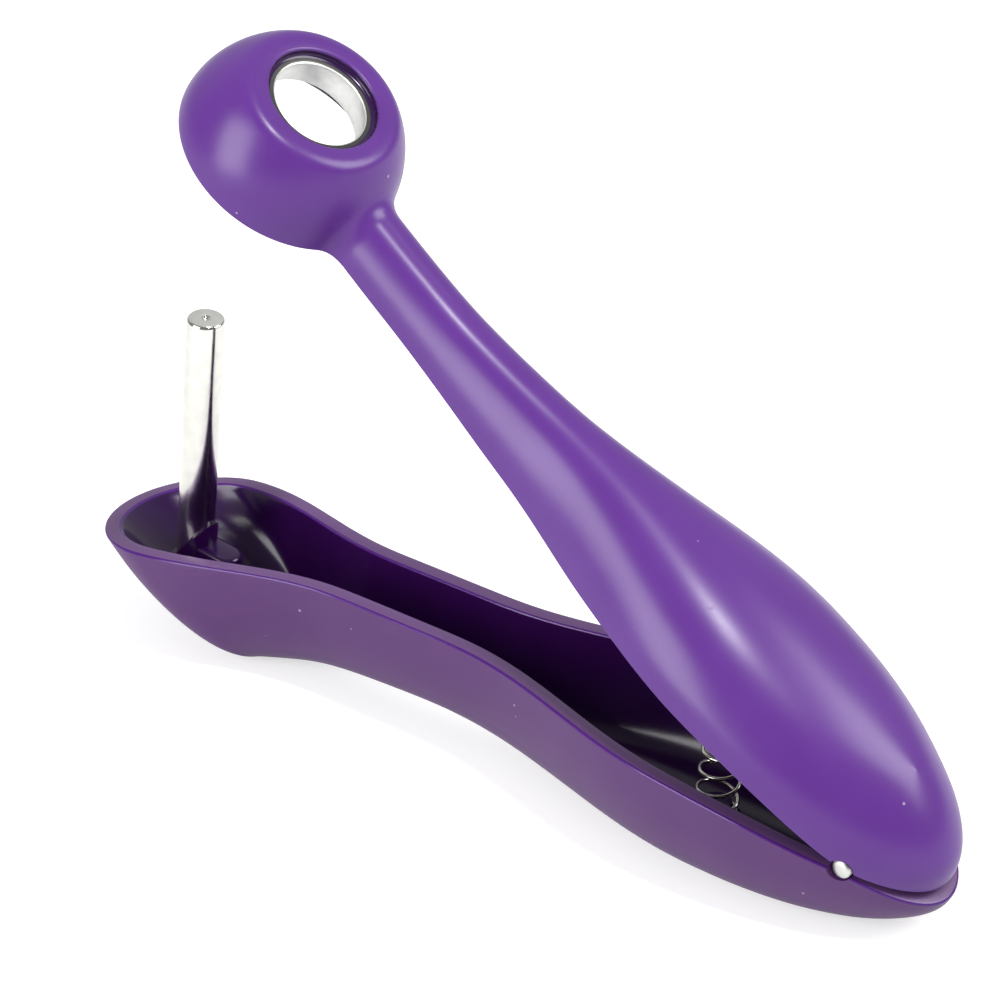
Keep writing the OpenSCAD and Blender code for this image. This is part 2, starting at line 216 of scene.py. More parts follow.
# %% [markdown]
# ## The studio
#
# The tool stands on a plain white table in front of a white wall. The world is white
# for the camera and gives the object a softer light. Mirror images show the lit wall
# behind the tool and, on the camera's side and overhead, the dark room: that is what
# makes polished plastic look deep. The table is white too, but it takes light as any
# surface does, so it keeps the shadow.

# %% The world
world = bpy.data.worlds.new("white_studio")
world.use_nodes = True
bpy.context.scene.world = world
sky = Graph("sky", world.node_tree)
camera_ray, mirrored, through = sky.rays()
shown = camera_ray.sum("MAXIMUM", mirrored.sum("MAXIMUM", through))
way = sky.node("ShaderNodeTexCoord", None, out="Generated")
lit_wall_way = (-0.515, 0.637, 0.574)
facing = sky.node("ShaderNodeVectorMath", {"operation": "DOT_PRODUCT"}, way, lit_wall_way,
                  out="Value")
WHITE, LIT_WALL, DARK_ROOM = (1, 1, 1, 1), (0.60, 0.60, 0.60, 1), (0.16, 0.16, 0.16, 1)
room = sky.colours(sky.band(facing, 0.30, 0.90), DARK_ROOM, LIT_WALL)
dome_strength = 0.66
dome = sky.node("ShaderNodeBackground", None, WHITE, dome_strength)
wall = sky.node("ShaderNodeBackground", None, sky.colours(camera_ray, room, WHITE), 1.0)
sky.node("ShaderNodeOutputWorld", None,
         sky.node("ShaderNodeMixShader", None, shown, dome, wall))
bpy.context.scene.view_settings.view_transform = "Standard"
print("world strength for the object", dome_strength)

# %% The table
bpy.ops.object.select_all(action="DESELECT")
bpy.ops.mesh.primitive_plane_add(size=6, location=(0, 0, 0))
table = bpy.context.object
table.name = "table"
bpy.ops.object.mode_set(mode="EDIT")
bpy.ops.mesh.subdivide(number_cuts=3)
bpy.ops.object.mode_set(mode="OBJECT")
top = Graph("white_table")
camera_ray, mirrored, through = top.rays()
fine = top.noise(top.place(), 60, 3)
matt = top.node("ShaderNodeBsdfDiffuse", None,
                top.colours(fine, (0.60, 0.60, 0.60, 1), (0.64, 0.64, 0.64, 1)))
glow = top.node("ShaderNodeEmission", None, WHITE,
                0.55 * camera_ray + 0.27 * (mirrored + through))
top.node("ShaderNodeOutputMaterial", None,
         top.node("ShaderNodeAddShader", None, matt, glow))
table.data.materials.append(top.material)
print("table made")

# %% [markdown]
# ## Finishes
#
# Both handles are one purple plastic with two finishes from the mould: satin outside,
# where a fine grain breaks up the streaks, and polished inside, whose colour is painted
# almost black for the shade in the hollows. The lower handle's satin is a greyer, duller
# copy of the purple, painted for the white table that it mirrors. The rounded edges of
# the lower rim are polished too and painted a deeper violet for the dark room they
# mirror. A few specks of dust and faint scuffs keep the satin from looking like paint.

# %% Satin outside
def satin_plastic(name, deep, pale, roughness):
    g = Graph(name)
    where = g.place()
    grain = g.noise(where, 0.34, 3, 0.65)
    mottle = g.noise(where, 9, 3, 0.5)
    scuff = g.noise(g.place((1, 1, 3), (0.3, 0.5, 0.2)), 2.6, 6, 0.7)
    between_specks = 7.5 * MM
    speck = g.node("ShaderNodeTexVoronoi", {"feature": "F1"}, Vector=where,
                   Scale=1 / between_specks, Randomness=1.0)
    dust = g.band(speck, 0.020, 0.034, 1.0, 0.0)
    worn = g.band(scuff, 0.62, 0.74)
    colour = g.colours(g.band(mottle, 0.35, 0.65), deep, pale)
    colour = g.colours(dust * 0.5, colour, linear(205, 190, 212))
    rough = roughness + 0.10 * worn + 0.06 * (grain - 0.5)
    height = g.bump(grain, 0.006, 0.55)
    return g.finish(Base_Color=colour, Roughness=rough, Normal=height, IOR=1.46)


satin_purple = satin_plastic("satin_purple", (0.085, 0.019, 0.195, 1),
                             (0.091, 0.022, 0.207, 1), 0.30)
# The lower handle's copy of the same plastic is greyer and duller: a painted reflection of the
# white table.
satin_painted_reflection = satin_plastic("satin_painted_reflection", (0.072, 0.019, 0.115, 1),
                             (0.078, 0.0215, 0.123, 1), 0.40)
print("satin plastic:", satin_purple.name, satin_painted_reflection.name)

# %% Polished inside, its colour painted dark for shade
def polished_plastic(name, deep, pale):
    g = Graph(name)
    where = g.place()
    wave = g.noise(where, 14, 2)
    fine = g.noise(where, 0.8, 3, 0.6)
    colour = g.colours(g.band(wave, 0.3, 0.7), deep, pale)
    rough = 0.15 + 0.06 * fine
    return g.finish(Base_Color=colour, Roughness=rough, IOR=1.46,
                    Normal=g.bump(wave, 0.02, 0.3))


# The inside is painted almost black: painted shade in the hollows, on the hole's wall and on
# the parts inside.
polished_painted_shade = polished_plastic("polished_painted_shade", (0.020, 0.002, 0.044, 1),
                                   (0.025, 0.003, 0.054, 1))
# The rounded rim edges are a deeper violet than the plastic: a painted dark reflection along
# the edge.
edge_painted_dark_reflection = polished_plastic("edge_painted_dark_reflection", (0.055, 0.006, 0.135, 1),
                               (0.062, 0.008, 0.150, 1))
print("polished plastic:", polished_painted_shade.name, edge_painted_dark_reflection.name)

# %% The rims between them
def rim_plastic(name, base):
    g = Graph(name)
    where = g.place()
    drawn = g.noise(g.place((1, 6, 6)), 1.2, 3)
    grain = g.noise(where, 0.4, 2)
    colour = g.colours(g.band(drawn, 0.3, 0.7), base, shaded(base, 1.12))
    return g.finish(Base_Color=colour, Roughness=0.42 + 0.08 * (grain - 0.5), IOR=1.5,
                    Normal=g.bump(grain, 0.005, 0.5))


# The rim band is lighter and greyer than the handles: a painted reflection of the bright room
# on its flat.
rim_painted_sheen = rim_plastic("rim_painted_sheen", (0.10, 0.042, 0.145, 1))
print("rim plastic:", rim_painted_sheen.name)

# %% [markdown]
# ## Metals
#
# The ring is turned aluminium, the rod and the pin are ground steel and the spring is
# bright wire. Fine marks from the tool run round a turned part and along a drawn one,
# so each pattern is stretched that way.

# %% Metal with marks of its making
def metal(name, tint, roughness, stretch, mark, pits=0.0):
    g = Graph(name)
    lines = g.noise(g.place(stretch), mark, 4, 0.7)
    cloud = g.noise(g.place(), 1.6, 3)
    colour = g.colours(g.band(cloud, 0.3, 0.7), tint, shaded(tint, 0.90))
    rough = roughness + 0.10 * (lines - 0.5) + 0.08 * (cloud - 0.5)
    height = g.bump(lines, 0.004, 0.5)
    if pits:
        spots = g.noise(g.place(), 0.22, 2, 0.8)
        height = g.bump(spots, 0.006, pits, height)
    return g.finish(Base_Color=colour, Metallic=1.0, Roughness=rough, Normal=height)


rod_steel = metal("rod_steel", (0.86, 0.85, 0.80, 1), 0.16, (1, 1, 0.12), 0.30, 0.5)
rod_face = metal("rod_face", (0.84, 0.84, 0.81, 1), 0.42, (1, 1, 1), 0.30, 0.6)
pin_steel = metal("pin_steel", (0.70, 0.70, 0.68, 1), 0.42, (1, 1, 1), 0.35, 0.3)
ring_metal = metal("ring_metal", (0.86, 0.86, 0.84, 1), 0.45, (1, 1, 4), 0.30, 0.3)
# The ring's end face is painted almost black: painted shade on the face that lies down in the
# hole.
ring_face_painted_shade = metal("ring_face_painted_shade", (0.10, 0.10, 0.095, 1), 0.45, (1, 1, 1), 0.25, 0.8)
spring_wire = metal("spring_wire", (0.66, 0.64, 0.58, 1), 0.20, (1, 1, 1), 0.20)
metals = (rod_steel, rod_face, pin_steel, ring_metal, ring_face_painted_shade, spring_wire)
print("metals:", [m.name for m in metals])

# %% [markdown]
# ## The shape of the handles in numbers
#
# A handle is easiest to draw closed, with the pin at the origin. A place on it is its
# distance from the pin towards the rod, and each cross-section needs only the height of
# the rim, half the width and the depth of the far side. These are the maker's curves:
# the belly for the palm, the waist, the cup, the neck.

# %% The main sizes, in millimetres
reach, tail, nose, belly_at, wall, floor_wall = 123.5, 10.7, 14.2, 24.0, 2.6, 2.4
belly_w, waist_w, cup_w, neck_w = 31.2, 15.2, 27.2, 10.4
arch_rise, nose_drop, rim_gap = 5.2, 2.4, 0.5
belly_depth, waist_depth, cup_depth = 13.8, 11.1, 16.9
back_height, neck_height, ball_r, ball_height = 18.6, 21.8, 16.3, 21.4
hole_lean, top_height, ring_seat, ball_wall = math.radians(11.4), 11.8, 1.2, 2.4
hole_at = reach + 3.5
nose_tip, waist_at, cup_from = reach + nose, belly_at + 46, reach - 33.5
keel_cup = reach - 11.5
neck_end = hole_at - ball_height * math.sin(hole_lean) - (ball_r - ball_wall) - 0.4
neck_at = neck_end - 11.5
rake_front, rake_tail, rake_from = 24.0, 12.0, 100.0
print("neck from", round(neck_at, 1), "to", round(neck_end, 1))

# %% Smooth curves
def ease(t):
    return (1 - math.cos(math.pi * min(1, max(0, t)))) / 2


def curve(stations, u):
    last = len(stations) - 2
    i = next((k for k in range(last) if u < stations[k + 1][0]), last)
    (u0, a), (u1, b) = stations[i], stations[i + 1]

    def slope(k):
        p, q = stations[max(k - 1, 0)], stations[min(k + 1, len(stations) - 1)]
        return (q[1] - p[1]) / (q[0] - p[0])
    h, s = u1 - u0, (u - u0) / (u1 - u0)
    return ((1 + 2 * s) * (1 - s) ** 2 * a + s * s * (3 - 2 * s) * b
            + h * s * (1 - s) * ((1 - s) * slope(i) - s * slope(i + 1)))


arch = [(0, 0), (12, 0.56 * arch_rise), (25, 0.88 * arch_rise), (47, arch_rise),
        (75, 0.84 * arch_rise), (100, 0.6 * arch_rise), (reach - 3, 0.16 * arch_rise),
        (nose_tip, -nose_drop)]
climb = [(40, 0), (52, 0), (62, 1.25), (75, 4.16), (neck_at, 10.4), (neck_end, 14.35)]
keel = [(rake_tail - tail, 1.3 - belly_depth), (belly_at - 8, 0.2 - belly_depth),
        (belly_at + 4, -belly_depth), (waist_at - 22, -0.55 * belly_depth - 0.45 * waist_depth),
        (waist_at, -waist_depth), (waist_at + 12, -0.1 * cup_depth - 0.9 * waist_depth),
        (keel_cup - 16, -0.38 * cup_depth - 0.62 * waist_depth),
        (keel_cup - 7, -0.8 * cup_depth - 0.2 * waist_depth), (keel_cup, -cup_depth),
        (nose_tip - rake_front, -cup_depth)]
crown = [(rake_tail - tail, back_height - 6.2), (belly_at - 9, back_height - 3.3),
         (belly_at + 8, back_height - 0.8), (belly_at + 27, back_height),
         (belly_at + 46, back_height), (neck_at - 11, neck_height - 2.1),
         (neck_at, neck_height), (neck_end, neck_height + 2.8)]
print("rim over the belly", round(curve(arch, belly_at), 2), "mm")

# %% Rims and widths
def lower_rim(u):
    return (u * math.tan(math.radians(28)) if u < 0 else curve(arch, u)) - rim_gap / 2


def upper_rim(u):
    return (curve(arch, u) if u > 0 else 0) + (curve(climb, u) if u > 40 else 0) + rim_gap / 2


def belly_share(u):
    return 1 - ease((u - belly_at - 2) / (waist_at - belly_at - 2))


def lower_half(u, e):
    return (waist_w / 2 - e + (belly_w - waist_w) / 2 * belly_share(u)
            + (cup_w - waist_w) / 2 * ease((u - cup_from) / (reach - cup_from)))


def upper_half(u, e):
    thin = 1 - ease((u - belly_at - 26) / (neck_at - belly_at - 26))
    return (neck_w / 2 - e + (belly_w - waist_w) / 2 * belly_share(u)
            + (waist_w - neck_w) / 2 * thin)


print("half widths at the waist", lower_half(waist_at, 0), round(upper_half(neck_at, 0), 2))

# %% [markdown]
# ## A shell from one flat sheet
#
# How do you model a long hollow grip by hand? One way is a flat grid whose lines are
# first bent into a half round, and whose rows are then sized and moved to their places,
# one after the other, like the ribs of a boat. Every edge then runs along or across the
# handle, which is what Subdivision Surface likes best, and the open end of the sheet
# is closed by merging the two halves of its last, narrowest row.

# %% Choose and move parts of a piece
def alone(piece):
    """Make one object the only selected one."""
    bpy.ops.object.select_all(action="DESELECT")
    piece.select_set(True)
    bpy.context.view_layer.objects.active = piece


def begin(piece):
    alone(piece)
    bpy.ops.object.mode_set(mode="EDIT")


def end():
    bpy.ops.object.mode_set(mode="OBJECT")


def choose_all():
    bpy.ops.mesh.select_all(action="SELECT")


def choose_open_edges():
    bpy.ops.mesh.select_mode(type="EDGE")
    bpy.ops.mesh.select_all(action="DESELECT")
    bpy.ops.mesh.select_non_manifold(extend=False, use_wire=False, use_multi_face=False,
                                     use_non_contiguous=False, use_verts=False)


def choose_faces(piece, wanted):
    bpy.ops.mesh.select_mode(type="FACE")
    bpy.ops.mesh.select_all(action="DESELECT")
    points = bmesh.from_edit_mesh(piece.data)
    for f in points.faces:
        f.select_set(bool(wanted(f)))
    bmesh.update_edit_mesh(piece.data)


def choose(piece, wanted):
    bpy.ops.mesh.select_mode(type="VERT")
    bpy.ops.mesh.select_all(action="DESELECT")
    points = bmesh.from_edit_mesh(piece.data)
    points.verts.ensure_lookup_table()
    if callable(wanted):
        for v in points.verts:
            v.select_set(bool(wanted(v)))
    else:
        for index in wanted:
            points.verts[index].select_set(True)
    points.select_flush(True)
    bmesh.update_edit_mesh(piece.data)


def new_piece(name):
    piece = bpy.context.object
    piece.name = piece.data.name = name
    return piece


def sized(values, centre):
    bpy.ops.transform.resize(value=values, center_override=centre)


def moved(x, y, z):
    bpy.ops.transform.translate(value=(x, y, z))


def turned(angle, centre):
    """Turn about the Y axis. The operator counts its angles the other way round."""
    bpy.ops.transform.rotate(value=-angle, orient_axis="Y", center_override=centre)


def extruded(x, y, z):
    bpy.ops.mesh.extrude_region_move(TRANSFORM_OT_translate={"value": (x, y, z)})


def faces_outward():
    choose_all()
    bpy.ops.mesh.normals_make_consistent(inside=False)


print("helpers for edit mode are ready")

# %% Bend a grid into a row of ribs
LINES = 25


def half_round(power, down):
    ribs = []
    for j in range(LINES):
        a = math.pi * j / (LINES - 1)
        ribs.append((abs(math.cos(a)) ** (2 / power) * (1 if a < math.pi / 2 else -1),
                     down * math.sin(a) ** (2 / power)))
    return ribs


def sheet(name, rows, power, down, tail_bend, nose_bend):
    """Each row: place, rim height, lean of the far side, half width, depth, tilt."""
    bpy.ops.object.select_all(action="DESELECT")
    bpy.ops.mesh.primitive_grid_add(x_subdivisions=len(rows) - 1, y_subdivisions=LINES - 1,
                                    size=2)
    piece = new_piece(name)
    step = 2 / (len(rows) - 1)
    row_of = [round((v.co.x + 1) / step) for v in piece.data.vertices]
    line_of = [round((v.co.y + 1) * (LINES - 1) / 2) for v in piece.data.vertices]
    near_tail = [rows[i][0] < belly_at for i in row_of]
    begin(piece)
    for j, (y, z) in enumerate(half_round(power, down)):
        for bend, at_tail in ((tail_bend, True), (nose_bend, False)):
            choose(piece, [k for k, line in enumerate(line_of)
                           if line == j and near_tail[k] == at_tail])
            moved(abs(z) ** bend, y - (2 * j / (LINES - 1) - 1), z)
    for i, (place, rise, lean, half, depth, tilt) in enumerate(rows):
        start = -1 + i * step
        choose(piece, [k for k, row in enumerate(row_of) if row == i])
        sized((lean * MM, half * MM, depth * MM), (start, 0, 0))
        if tilt:
            turned(tilt, (start, 0, 0))
        moved(-place * MM - start, 0, rise * MM)
    choose_all()
    bpy.ops.mesh.remove_doubles(threshold=0.002 * MM)
    faces_outward()
    end()
    print(name, "has", len(rows), "ribs and", len(piece.data.polygons), "faces")
    return piece


# %% Close up, smooth and join
def finish_with(piece, kind, **settings):
    alone(piece)
    bpy.ops.object.modifier_add(type=kind)
    modifier = piece.modifiers[-1]
    for key, value in settings.items():
        setattr(modifier, key, value)
    bpy.ops.object.modifier_apply(modifier=modifier.name)


def joined(first, *others):
    alone(first)
    for piece in others:
        piece.select_set(True)
    bpy.ops.object.join()
    return first


def settled(piece, place):
    alone(piece)
    piece.matrix_world = place @ piece.matrix_world
    bpy.ops.object.transform_apply(location=True, rotation=True, scale=True)


def smoothed(piece, angle=35):
    alone(piece)
    bpy.ops.object.shade_smooth_by_angle(angle=math.radians(angle))


print("helpers for modifiers are ready")

# %% [markdown]
# ## The lower handle
#
# The outside and the inside are two sheets with the same number of ribs. The inside is
# narrower by the wall on every side. Its far line lies above the floor's thickness.

# %% Ribs of the lower handle
def keel_lean(u, e=0):
    if u < belly_at:
        return -rake_tail * ((belly_at - u) / (belly_at + tail)) ** 2
    return (rake_front - 0.7 * e) * ease((u - rake_from) / (nose_tip - rake_from))


def lower_ribs(e, floor):
    ribs = []

    def rib(u, half):
        low = curve(keel, u - keel_lean(u)) + floor
        ribs.append((u, lower_rim(u), keel_lean(u, e), max(half, 0), lower_rim(u) - low, 0))
    for i in range(10):
        a = math.radians(9 * i)
        rib(belly_at - (belly_at + tail - e) * math.cos(a), (belly_w / 2 - e) * math.sin(a))
    for i in range(27):
        u = belly_at + (reach - belly_at) * i / 26
        rib(u, lower_half(u, e))
    for i in range(1, 11):
        a = math.radians(9 * i)
        rib(reach + (nose - e) * math.sin(a), (cup_w / 2 - e) * math.cos(a))
    return ribs


lower_out = sheet("lower_handle_shell", lower_ribs(0, 0), 2.65, -1, 2, 1.2)
lower_in = sheet("lower_handle_inside", lower_ribs(wall, floor_wall), 2.65, -1, 2, 1.0)

# %% [markdown]
# The two sheets are smoothed first. Their rims then have the same number of points, so
# one bridge makes a clean flat band between them, whose two edges are rounded.

# %% Join the two sheets by a rim
OUTSIDE, INSIDE, RIM, EDGE = range(4)


def paint(piece, slot, wanted):
    choose_faces(piece, wanted)
    piece.active_material_index = slot
    bpy.ops.object.material_slot_assign()


def shell(outside, inside, out_finish, in_finish, rim_finish, edge_finish, edge=0.5):
    for piece, finish in ((outside, out_finish), (inside, in_finish)):
        finish_with(piece, "SUBSURF", levels=2, render_levels=2)
        piece.data.materials.append(finish)
    begin(inside)
    choose_all()
    bpy.ops.mesh.flip_normals()
    end()
    piece = joined(outside, inside)
    piece.data.materials.append(rim_finish)
    piece.data.materials.append(edge_finish)
    begin(piece)
    choose_open_edges()
    bpy.ops.mesh.bridge_edge_loops()
    points = bmesh.from_edit_mesh(piece.data)
    points.faces.index_update()
    band = {f.index for f in points.faces if f.select}
    print("rim band of", len(band), "faces")
    paint(piece, RIM, lambda f: f.index in band)
    bpy.ops.mesh.select_mode(type="EDGE")
    points = bmesh.from_edit_mesh(piece.data)
    for e in points.edges:
        sides = [f.material_index == RIM for f in e.link_faces]
        e.select_set(len(sides) == 2 and sides[0] != sides[1])
    points.select_flush_mode()
    bmesh.update_edit_mesh(piece.data)
    bpy.ops.mesh.bevel(offset=edge * MM, segments=3, profile=0.5, clamp_overlap=True,
                       material=EDGE)
    faces_outward()
    end()
    return piece


lower_handle = shell(lower_out, lower_in, satin_painted_reflection, polished_painted_shade, rim_painted_sheen,
                     edge_painted_dark_reflection)
print("lower handle:", len(lower_handle.data.polygons), "faces")

# %% [markdown]
# ## The upper handle
#
# Its ribs run on over the neck and the ball: a half ball is also a row of half rings,
# which grow from the neck to the full radius and shrink to nothing at the front. Where
# the neck meets the ball, a fillet of 4 mm takes each rib from one to the other.

# %% Ribs of the upper handle
ball_centre = (hole_at - ball_height * math.sin(hole_lean), ball_height * math.cos(hole_lean))
skirt, fillet = 0.7, 4.0
fillet_places = (-18.0, -17.2, -16.4, -15.7, -15.1, -14.6, -14.1, -13.4, -12.4)
tilt_from, tilt_to = 74, 104


def on_mouth(s, h):
    """A place in the closed tool from s along the ball's mouth and the height h over it."""
    return (ball_centre[0] + s * math.cos(hole_lean) - h * math.sin(hole_lean),
            ball_centre[1] + s * math.sin(hole_lean) + h * math.cos(hole_lean))


def from_ball(u, z):
    du, dz = u - ball_centre[0], z - ball_centre[1]
    return (du * math.cos(hole_lean) + dz * math.sin(hole_lean),
            dz * math.cos(hole_lean) - du * math.sin(hole_lean))


def crown_over(u, z, tilt, roof):
    """Depth of a rib that stands tilted on the rim at u, z."""
    depth = 5.0
    for _ in range(40):
        gap = curve(crown, u - depth * math.sin(tilt)) - roof - z - depth * math.cos(tilt)
        depth += 0.7 * gap
    return depth


def filleted(s, flat, radius, r):
    """Height of a line that runs at the height flat into a ball, with a fillet r."""
    middle = -math.sqrt((radius + r) ** 2 - (flat + r) ** 2)
    if s <= middle:
        return flat
    if s < middle * radius / (radius + r):
        return flat + r - math.sqrt(r * r - (s - middle) ** 2)
    return math.sqrt(max(radius * radius - s * s, 0))


def handle_rib(u, half, e, lift):
    lean = keel_lean(u) if u < belly_at else 0
    tilt = hole_lean * ease((u - tilt_from) / (tilt_to - tilt_from))
    rim = upper_rim(u) + lift
    if tilt:
        return (u, rim, 0, half, crown_over(u, rim, tilt, e), tilt)
    return (u, rim, lean, half, curve(crown, u - lean) - e - rim, 0)


def upper_ribs(e, lift, neck_to):
    ribs = []
    for i in range(10):
        a = math.radians(9 * i)
        ribs.append(handle_rib(belly_at - (belly_at + tail - e) * math.cos(a),
                               (belly_w / 2 - e) * math.sin(a), e, lift))
    for i in range(28):
        u = belly_at + (neck_to - belly_at) * i / 27
        ribs.append(handle_rib(u, upper_half(u, e), e, lift))
    return ribs


def outer_upper_ribs():
    neck_to, mouth_from = 104.9, -13.4
    ribs = upper_ribs(0, skirt, neck_to)
    s0, h0 = from_ball(neck_to, upper_rim(neck_to))
    high = h0 + skirt + ribs[-1][4]
    for s in fillet_places:
        rim = -skirt + (h0 + skirt) * (1 - ease((s - s0) / (mouth_from - s0)))
        half = filleted(s, neck_w / 2, ball_r, fillet)
        top = filleted(s, high, ball_r, fillet)
        u, z = on_mouth(s, rim + skirt)
        ribs.append((u, z, 0, half, top - rim - skirt, hole_lean))
    first_angle, steps = -49.5, 14
    for i in range(1, steps + 1):
        a = math.radians(first_angle + (90 - first_angle) * i / steps)
        s, r = ball_r * math.sin(a), ball_r * math.cos(a)
        u, z = on_mouth(s, 0)
        ribs.append((u, z, 0, max(r, 0), max(r, 0), hole_lean))
    return ribs


def inner_upper_ribs(count):
    """The hollow ends before the ball. Four flat ribs cross the solid web to the bowl."""
    neck_to, bowl, bowl_from, first_angle = 104.6, ball_r - ball_wall, -13.9, -80
    ribs = upper_ribs(wall, 0, neck_to)
    s0, h0 = from_ball(neck_to, upper_rim(neck_to))
    for s, half in ((s0 + 0.5, 2.4), (s0 + 1.6, 2.2), (-14.6, 2.2), (bowl_from, 2.3)):
        u, z = on_mouth(s, h0 + (-skirt - h0) * ease((s - s0) / (bowl_from - s0)))
        ribs.append((u, z, 0, half, 0, hole_lean))
    left = count - len(ribs)
    for i in range(left):
        a = math.radians(first_angle + (90 - first_angle) * i / (left - 1))
        s, r = bowl * math.sin(a), bowl * math.cos(a)
        u, z = on_mouth(s, -skirt)
        ribs.append((u, z, 0, max(r, 0), max(r, 0) + skirt * math.cos(a), hole_lean))
    return ribs


outer = outer_upper_ribs()
inner = inner_upper_ribs(len(outer))
print("upper ribs", len(outer), len(inner))
upper_out = sheet("upper_handle_shell", outer, 2.05, 1, 2, 1)
upper_in = sheet("upper_handle_inside", inner, 2.1, 1, 2, 1)

# %% Let the outside down to the rim
begin(upper_out)
choose_open_edges()
extruded(0, 0, -skirt * MM)
end()
upper_handle = shell(upper_out, upper_in, satin_purple, polished_painted_shade, rim_painted_sheen,
                     satin_purple)
print("upper handle:", len(upper_handle.data.polygons), "faces")

# %% [markdown]
# ## The ball's flat top and its hole
#
# The top is cut flat by a plane, as a knife would cut an apple. The open edge that
# stays is a perfect circle, so it can be pulled and sized again and again: over a soft
# edge, across the flat, round the lip, down the wall of the hole and round the collar
# that holds the ring. At last it is bridged to the hollow inside.

# %% The middle of the ball and the way of its hole
ball_middle = Vector((-ball_centre[0], 0, ball_centre[1])) * MM
hole_way = Vector((math.sin(hole_lean), 0, math.cos(hole_lean)))
print("ball centre", [round(c / MM, 2) for c in ball_middle])

# %% Cut the ball open and pull its edge inwards
def cut_ball(piece, height, outside):
    def on_top(f):
        place = f.calc_center_median() - ball_middle
        middle_of_wall = ball_r - ball_wall / 2
        return (place.dot(hole_way) > 4 * MM and place.length < (ball_r + 1.2) * MM
                and (place.length > middle_of_wall * MM) == outside)
    choose_faces(piece, on_top)
    bpy.ops.mesh.select_mode(type="EDGE")
    bpy.ops.mesh.bisect(plane_co=ball_middle + height * MM * hole_way, plane_no=hole_way,
                        clear_outer=True, use_fill=False, threshold=0.0001 * MM)


def pull_edge(steps, radius, height):
    for r, h in steps:
        extruded(*((h - height) * MM * hole_way))
        sized((r / radius,) * 3, ball_middle + h * MM * hole_way)
        radius, height = r, h


soft_edge, lip = 2.8, 0.45
edge_middle = math.sqrt((ball_r - soft_edge) ** 2 - (top_height - soft_edge) ** 2)
first = math.atan2(top_height - soft_edge, edge_middle)
around = [first + (math.pi / 2 - first) * k / 6 for k in range(7)]
bend = [(edge_middle + soft_edge * math.cos(a),
         top_height - soft_edge + soft_edge * math.sin(a)) for a in around]
hole_r, seat_r, collar_r, collar_foot = 8.2, 8.8, 10.4, 5.6
lip_steps = [(hole_r + lip * (1 - math.sin(a)), top_height - lip * (1 - math.cos(a)))
             for a in (0, math.pi / 6, math.pi / 3, math.pi / 2)]
ring_top = top_height - ring_seat
over_ring = [(hole_r, 0.5), (8.1, 0.25), (7.9, 0.1), (7.6, 0.04), (7.6, 0), (seat_r, 0)]
collar = [(seat_r, 0.3), (seat_r + 0.1, 0.1), (seat_r + 0.3, 0), (collar_r - 0.3, 0),
          (collar_r - 0.1, 0.1), (collar_r, 0.3)]
inner_cut = 9.2
begin(upper_handle)
cut_ball(upper_handle, inner_cut, False)
cut_ball(upper_handle, bend[0][1], True)
pull_edge(bend[1:] + [(bend[-1][0] - 0.2, top_height)] + lip_steps
          + [(r, ring_top + h) for r, h in over_ring]
          + [(r, collar_foot + h) for r, h in collar] + [(collar_r, inner_cut - 0.2)],
          *bend[0])
choose_open_edges()
bpy.ops.mesh.bridge_edge_loops()
print("flat top cut, hole made")

# %% The hole and the collar are polished
def in_hole(f):
    place = f.calc_center_median() - ball_middle
    height = place.dot(hole_way)
    out = (place - height * hole_way).length
    return height < (top_height - 0.2) * MM and out < 10.5 * MM and height > 5 * MM


def in_flat(f):
    place = f.calc_center_median() - ball_middle
    return place.dot(hole_way) > 10.9 * MM and not in_hole(f) and place.length < 17 * MM


paint(upper_handle, OUTSIDE, in_flat)
paint(upper_handle, INSIDE, in_hole)
choose_all()
bpy.ops.mesh.remove_doubles(threshold=0.001 * MM)
faces_outward()
choose_open_edges()
left_open = sum(e.select for e in bmesh.from_edit_mesh(upper_handle.data).edges)
end()
print("open edges left on the upper handle:", left_open)

# %% [markdown]
# ## Parts inside the handles
#
# Each handle carries two hinge ears and a seat for the spring, and the lower one a boss
# for the rod. They grow out of the wall. So they are drawn too long and then cut off in
# the middle of the wall by a Boolean with a core, the shape of the handle's inside
# grown by half the wall.

# %% A core to trim by
def core(name, ribs, power, down, nose_bend):
    piece = sheet(name, ribs, power, down, 2, nose_bend)
    begin(piece)
    choose_open_edges()
    extruded(0, 0, -down * 12 * MM)
    sized((1, 1, 0), (0, 0, -down * 24 * MM))
    bpy.ops.mesh.edge_face_add()
    faces_outward()
    end()
    return piece


lower_core = core("lower_core", lower_ribs(wall / 2, floor_wall / 2), 2.65, -1, 1.1)
short = [r for r in upper_ribs(wall / 2, 0, 104) if r[0] < 52]
short.append((short[-1][0] + 3, short[-1][1], 0, 0, short[-1][4], 0))
upper_core = core("upper_core", short, 2.1, 1, 1)


def trimmed(piece, by):
    finish_with(piece, "BOOLEAN", object=by, operation="INTERSECT", solver="EXACT")


def rounded(piece, width):
    finish_with(piece, "BEVEL", width=width * MM, segments=3, limit_method="ANGLE",
                angle_limit=math.radians(40))


def cylinder(name, radius, length, middle, vertices=48, across=False):
    bpy.ops.object.select_all(action="DESELECT")
    bpy.ops.mesh.primitive_cylinder_add(
        vertices=vertices, radius=radius * MM, depth=length * MM,
        location=Vector(middle) * MM, rotation=(math.pi / 2 if across else 0, 0, 0))
    piece = new_piece(name)
    bpy.ops.object.transform_apply(location=True, rotation=True, scale=True)
    return piece


print("cores are ready")

# %% Hinge ears
pin_r, ear_r, ear_t, ear_gap = 1.4, 3.0, 2.2, 0.4


def tail_half(u):
    share = (belly_at - u) / (belly_at + tail - wall)
    return (belly_w / 2 - wall) * math.sqrt(1 - share ** 2)


lower_ear_y = tail_half(-ear_r - ear_gap) - ear_gap - ear_t / 2
upper_ear_y = lower_ear_y - ear_t - ear_gap


